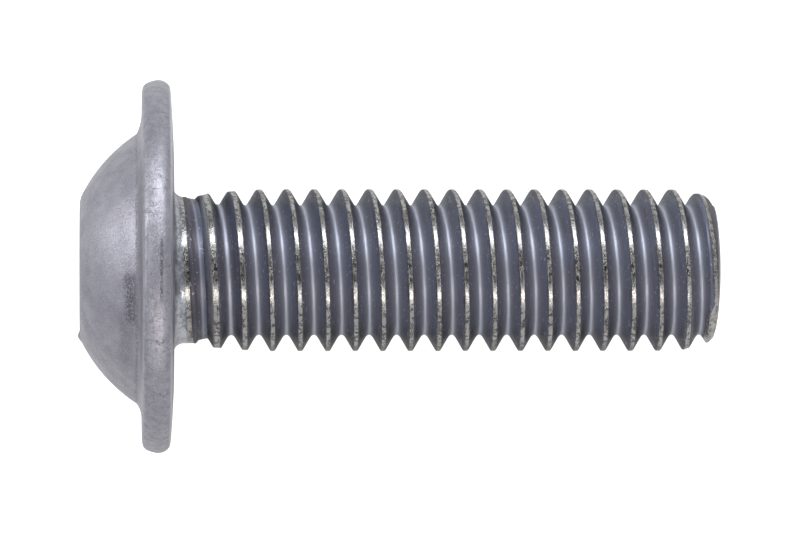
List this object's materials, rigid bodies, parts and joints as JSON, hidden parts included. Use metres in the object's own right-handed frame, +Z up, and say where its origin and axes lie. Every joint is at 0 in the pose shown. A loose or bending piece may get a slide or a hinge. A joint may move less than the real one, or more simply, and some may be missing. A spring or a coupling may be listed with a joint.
{
  "type": "flange button head screw",
  "caption": "Button head screw with a wide flange, a hexagon socket and a rolled metric thread with a plain neck, lying on its side.",
  "frame": {"origin": "on the floor, below the middle of the lying screw's length and width", "axes": "+Z up, +X from the head to the tip as seen from above, +Y across; the screw's own axis falls from the head to the tip by about 11.5 degrees"},
  "size_m": [0.0238, 0.0136, 0.0133],
  "materials": {
    "steel": "satin"
  },
  "bodies": {
    "root": {"screw": "steel"}
  },
  "joints": []
}
